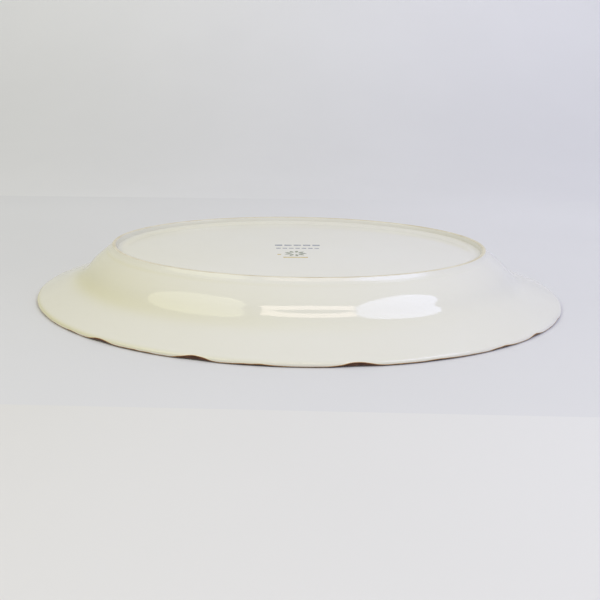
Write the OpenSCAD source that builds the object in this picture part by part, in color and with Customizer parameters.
// Oval porcelain serving platter with a scalloped rim, standing upright on its foot ring.
// Origin: middle of the footprint, on the table. +X runs along the length, +Z out of the open dish.

/* [Platter] */
// Overall length over the crests of the scalloped rim
platter_l = 356; // [330:1:400]
// Overall width over the crests of the scalloped rim
platter_w = 276; // [250:1:310]
// Height from the table to the top of the rim
platter_h = 34; // [32:0.5:38]
// Height of the underside of the well above the table
recess_h = 4.6; // [4:0.1:5.5]
// Thickness of the well floor, glaze included
floor_t = 4.4; // [3.5:0.1:5.5]
// Thickness of the rounded lip
lip_t = 2.6; // [2:0.1:3.4]

/* [Foot ring] */
// Length between the middles of the foot ring's two ends
foot_l = 252; // [240:1:262]
// Width between the middles of the foot ring's two sides
foot_w = 185.4; // [175:0.2:195]
// Height of the bare ridge, up to where it joins the clay body
ridge_h = 3; // [2:0.1:3.8]
// Width of the flat that stands on the table
ridge_flat = 1.6; // [1:0.1:2.4]

/* [Scallops] */
// How far the deepest notch cuts in from the rim
notch_cut = 1.3; // [0:0.1:3]
// How far the deepest notch dips below the top of the rim
notch_dip = 0.7; // [0:0.1:1.6]

/* [Coats] */
// Thickness of the fired glaze
glaze_t = 0.3; // [0.2:0.05:0.5]
// Thickness of the enamel line on the rim
enamel_t = 0.2; // [0.1:0.05:0.4]
// Width of the enamel line on the food side of the rim
enamel_w = 3; // [1.5:0.1:4]
// Thickness of the printed backstamp
print_t = 0.15; // [0.1:0.05:0.3]

/* [Hidden] */

// The rim has a notch wherever its outward direction turns by NOTCH_STEP. Strength of each
// notch along one long side, from the left end to the right; the other long side mirrors them.
NOTCHES = [0.2, 0.25, 0.25, 0.25, 0.4, 0.8, 1, 0.25, 0.95, 0.35, 0.5, 0.8, 0.5, 0.25, 0.2];
NOTCH_STEP = 180 / len(NOTCHES);
// How far a notch reaches to each side, as a part of half the way to the next one
NOTCH_REACH = 0.7;
SIDES = 90;

// The backstamp is turned a little from the length, as if printed by hand
stamp_turn = 5;
wreath_at = [-2, -18.5];

// A section point is [u, z]: u is the distance outwards from the middle of the foot ring,
// measured along the length. Across the width the same step is shorter, by side_ratio.
margin_end = (platter_l - foot_l) / 2 - enamel_t;
margin_side = (platter_w - foot_w) / 2 - enamel_t;
side_ratio = margin_side / margin_end;
top_z = platter_h - enamel_t;
well_z = recess_h + floor_t;
flute_start = 0.5 * margin_end;

rise = top_z - well_z;

// Steepness, as rise over run, where the wall is steepest, where the flange starts, and on the
// food and under sides of the lip
wall_slope = 1.12;
flange_slope = 0.4;
lip_slope = 0.28;
under_lip_slope = 0.36;

well_edge = [-9, well_z];
steep_top = [13.4, well_z + 0.38 * rise];
flange_top = [24.5, well_z + 0.67 * rise];
lip_top = [margin_end - 1.6, top_z - 0.1];
lip_crown = [margin_end - 0.7, top_z - 0.35];
lip_nose = [margin_end, top_z - 0.45 * lip_t];
lip_under = [margin_end - 0.8, top_z - lip_t];
flange_under = [27.5, 0.66 * top_z];
steep_under = [17, 0.438 * top_z];
foot_outer = [0.5 * ridge_flat + 3.1, ridge_h];
foot_inner = [-0.5 * ridge_flat - 1.4, ridge_h];
base_edge = [foot_inner[0] - 9, recess_h];

// Points along a smooth curve from p to q with the slopes sp and sq, leaving out p
function blend_curve(p, q, sp, sq, n) = [for (i = [1:n]) let (
    t = i / n,
    d = q[0] - p[0],
    z = (2 * t ^ 3 - 3 * t ^ 2 + 1) * p[1] + (t ^ 3 - 2 * t ^ 2 + t) * d * sp
        + (3 * t ^ 2 - 2 * t ^ 3) * q[1] + (t ^ 3 - t ^ 2) * d * sq
) [p[0] + t * d, z]];

function reverse(list) = [for (i = [len(list) - 1:-1:0]) list[i]];

// The glazed outline, food side from the well outwards, then the underside inwards to the ridge
upper_line = concat([well_edge], blend_curve(well_edge, steep_top, 0, wall_slope, 4),
    blend_curve(steep_top, flange_top, wall_slope, flange_slope, 2),
    blend_curve(flange_top, lip_top, flange_slope, lip_slope, 3), [lip_crown, lip_nose]);
outer_line = concat([lip_nose], reverse(concat([foot_outer],
    blend_curve(foot_outer, steep_under, 0.62, wall_slope, 4),
    blend_curve(steep_under, flange_under, wall_slope, flange_slope, 3),
    blend_curve(flange_under, lip_under, flange_slope, under_lip_slope, 3))));
base_line = reverse(concat([base_edge], blend_curve(base_edge, foot_inner, 0, -0.7, 3)));

// The outline moved by d along its own normal, to the left of its direction of travel
function moved(line, d) = [for (i = [0:len(line) - 1]) let (
    a = line[max(i - 1, 0)],
    b = line[min(i + 1, len(line) - 1)],
    way = (b - a) / norm(b - a)
) line[i] + d * [-way[1], way[0]]];

// The same, with the end that meets the ridge kept on the ridge's top face
function coat_back(line, d, i_end) = let (m = moved(line, d)) [for (i = [0:len(m) - 1])
    i == i_end ? [m[i][0], ridge_h] : m[i]];

upper_back = concat([well_edge - [0, glaze_t]], [for (i = [1:len(upper_line) - 2])
    moved(upper_line, -glaze_t)[i]], [lip_nose - [glaze_t, 0]]);
outer_back = concat([lip_nose - [glaze_t, 0]], [for (i = [1:len(outer_line) - 1])
    coat_back(outer_line, -glaze_t, len(outer_line) - 1)[i]]);
base_back = concat([for (i = [0:len(base_line) - 2]) coat_back(base_line, -glaze_t, 0)[i]],
    [base_edge + [0, glaze_t]]);

// Strength of the notching where the rim faces the direction way: 0 between notches, and the
// notch's own strength in its middle
function notch(way) = let (
    from_left = 180 - acos(cos(way)),
    i = min(floor(from_left / NOTCH_STEP), len(NOTCHES) - 1),
    off = abs(from_left - (i + 0.5) * NOTCH_STEP) / (NOTCH_STEP / 2)
) NOTCHES[i] * max(0, 1 - off / NOTCH_REACH) ^ 1.5;

// How much of the notch reaches in as far as u
function flute(u) = max(0, (u - flute_start) / (margin_end - flute_start)) ^ 2;

// The point of the outline through the section point p where the rim faces the direction way
function ring_point(p, way) = let (
    a = atan2(platter_w * sin(way), platter_l * cos(way)),
    n = notch(way) * flute(p[0])
) [
    (foot_l / 2 + p[0] - notch_cut * n) * cos(a),
    (foot_w / 2 + p[0] * side_ratio - notch_cut * n) * sin(a),
    p[1] - notch_dip * n];

function all_points(section) = [for (p = section) for (i = [0:SIDES - 1])
    ring_point(p, 360 * (i + 0.5) / SIDES)];

function band_faces(j, k) = [for (i = [0:SIDES - 1]) let (n = (i + 1) % SIDES)
    [j * SIDES + i, k * SIDES + i, k * SIDES + n, j * SIDES + n]];

// A solid swept round the oval from a closed section, listed clockwise in [u, z]
module oval_ring(section) {
    last = len(section) - 1;
    polyhedron(all_points(section), [for (j = [0:last]) each band_faces(j, j == last ? 0 : j + 1)]);
}

// A solid swept from an open section that starts on a flat top and ends on a flat bottom
module oval_dish(section) {
    last = len(section) - 1;
    polyhedron(all_points(section), concat([for (j = [0:last - 1]) each band_faces(j, j + 1)],
        [[for (i = [0:SIDES - 1]) i]], [[for (i = [SIDES - 1:-1:0]) last * SIDES + i]]));
}

// The biscuit body under its glaze, with the flat seat on which the ridge stands
module clay_body() color([0.93, 0.92, 0.86]) oval_dish(concat(upper_back,
    [for (i = [1:len(outer_back) - 1]) outer_back[i]], base_back));

// The bare ridge under the body, with a flat foot and rounded shoulders
module foot_ring() color([0.80, 0.74, 0.62]) oval_ring([
    foot_inner, foot_outer, [foot_outer[0] - 0.7, 0.77 * ridge_h],
    [0.5 * ridge_flat + 0.7, 0.13 * ridge_h], [0.5 * ridge_flat, 0],
    [-0.5 * ridge_flat, 0], [-0.5 * ridge_flat - 0.4, 0.12 * ridge_h],
    [foot_inner[0] + 0.4, 0.55 * ridge_h]]);

module upper_glaze() color([0.97, 0.96, 0.91])
    oval_dish(concat(upper_line, reverse(upper_back)));

// The coat under the flange and, inside the ridge, under the well
module lower_glaze() color([0.95, 0.94, 0.89]) {
    oval_ring(concat(outer_line, reverse(outer_back)));
    oval_dish(concat(reverse(base_back), base_line));
}

// The brown line painted over the lip, from the food side to just round its nose
enamel_in = enamel_w - (margin_end - lip_top[0]);
enamel_path = [lip_top - enamel_in * [1, lip_slope], lip_top, lip_crown, lip_nose,
    lip_nose - [0.1, 0.15 * lip_t]];
module enamel_line() color([0.42, 0.27, 0.17])
    oval_ring(concat(moved(enamel_path, enamel_t), reverse(enamel_path)));

// Puts a flat backstamp shape, drawn as read from below, under the middle of the well
module print_on_base() translate([0, 0, recess_h - print_t]) rotate([0, 0, -stamp_turn])
    mirror([0, 1, 0]) linear_extrude(print_t) children();

// Two rows of plain dashes
module stamp_rules() color([0.35, 0.38, 0.45]) print_on_base() {
    for (i = [0:4]) translate([-16 + i * 6.6, 4.2]) square([5.2, 3.4]);
    for (i = [0:6]) translate([-15 + i * 4.4, -4.6]) square([3.2, 2.2]);
}

// A pointed leaf lying along +X from the origin
module leaf(length, width) let (r = (length ^ 2 + width ^ 2) / (4 * width)) intersection() {
    translate([length / 2, r - width / 2]) circle(r, $fn = 48);
    translate([length / 2, width / 2 - r]) circle(r, $fn = 48);
}

// A ring of leaves
module stamp_leaves() color([0.2, 0.33, 0.2]) print_on_base()
    for (i = [0:8]) translate(wreath_at) rotate(i * 40) translate([2.4, 0]) leaf(5.2, 2.2);

// A plain bar under the ring of leaves
module stamp_band() color([0.75, 0.62, 0.25]) print_on_base() {
    translate([-10, -30.5]) square([16, 2.6]);
    translate([-14, -22.4]) square([2.6, 2]);
}

clay_body();
foot_ring();
upper_glaze();
lower_glaze();
enamel_line();
stamp_rules();
stamp_leaves();
stamp_band();
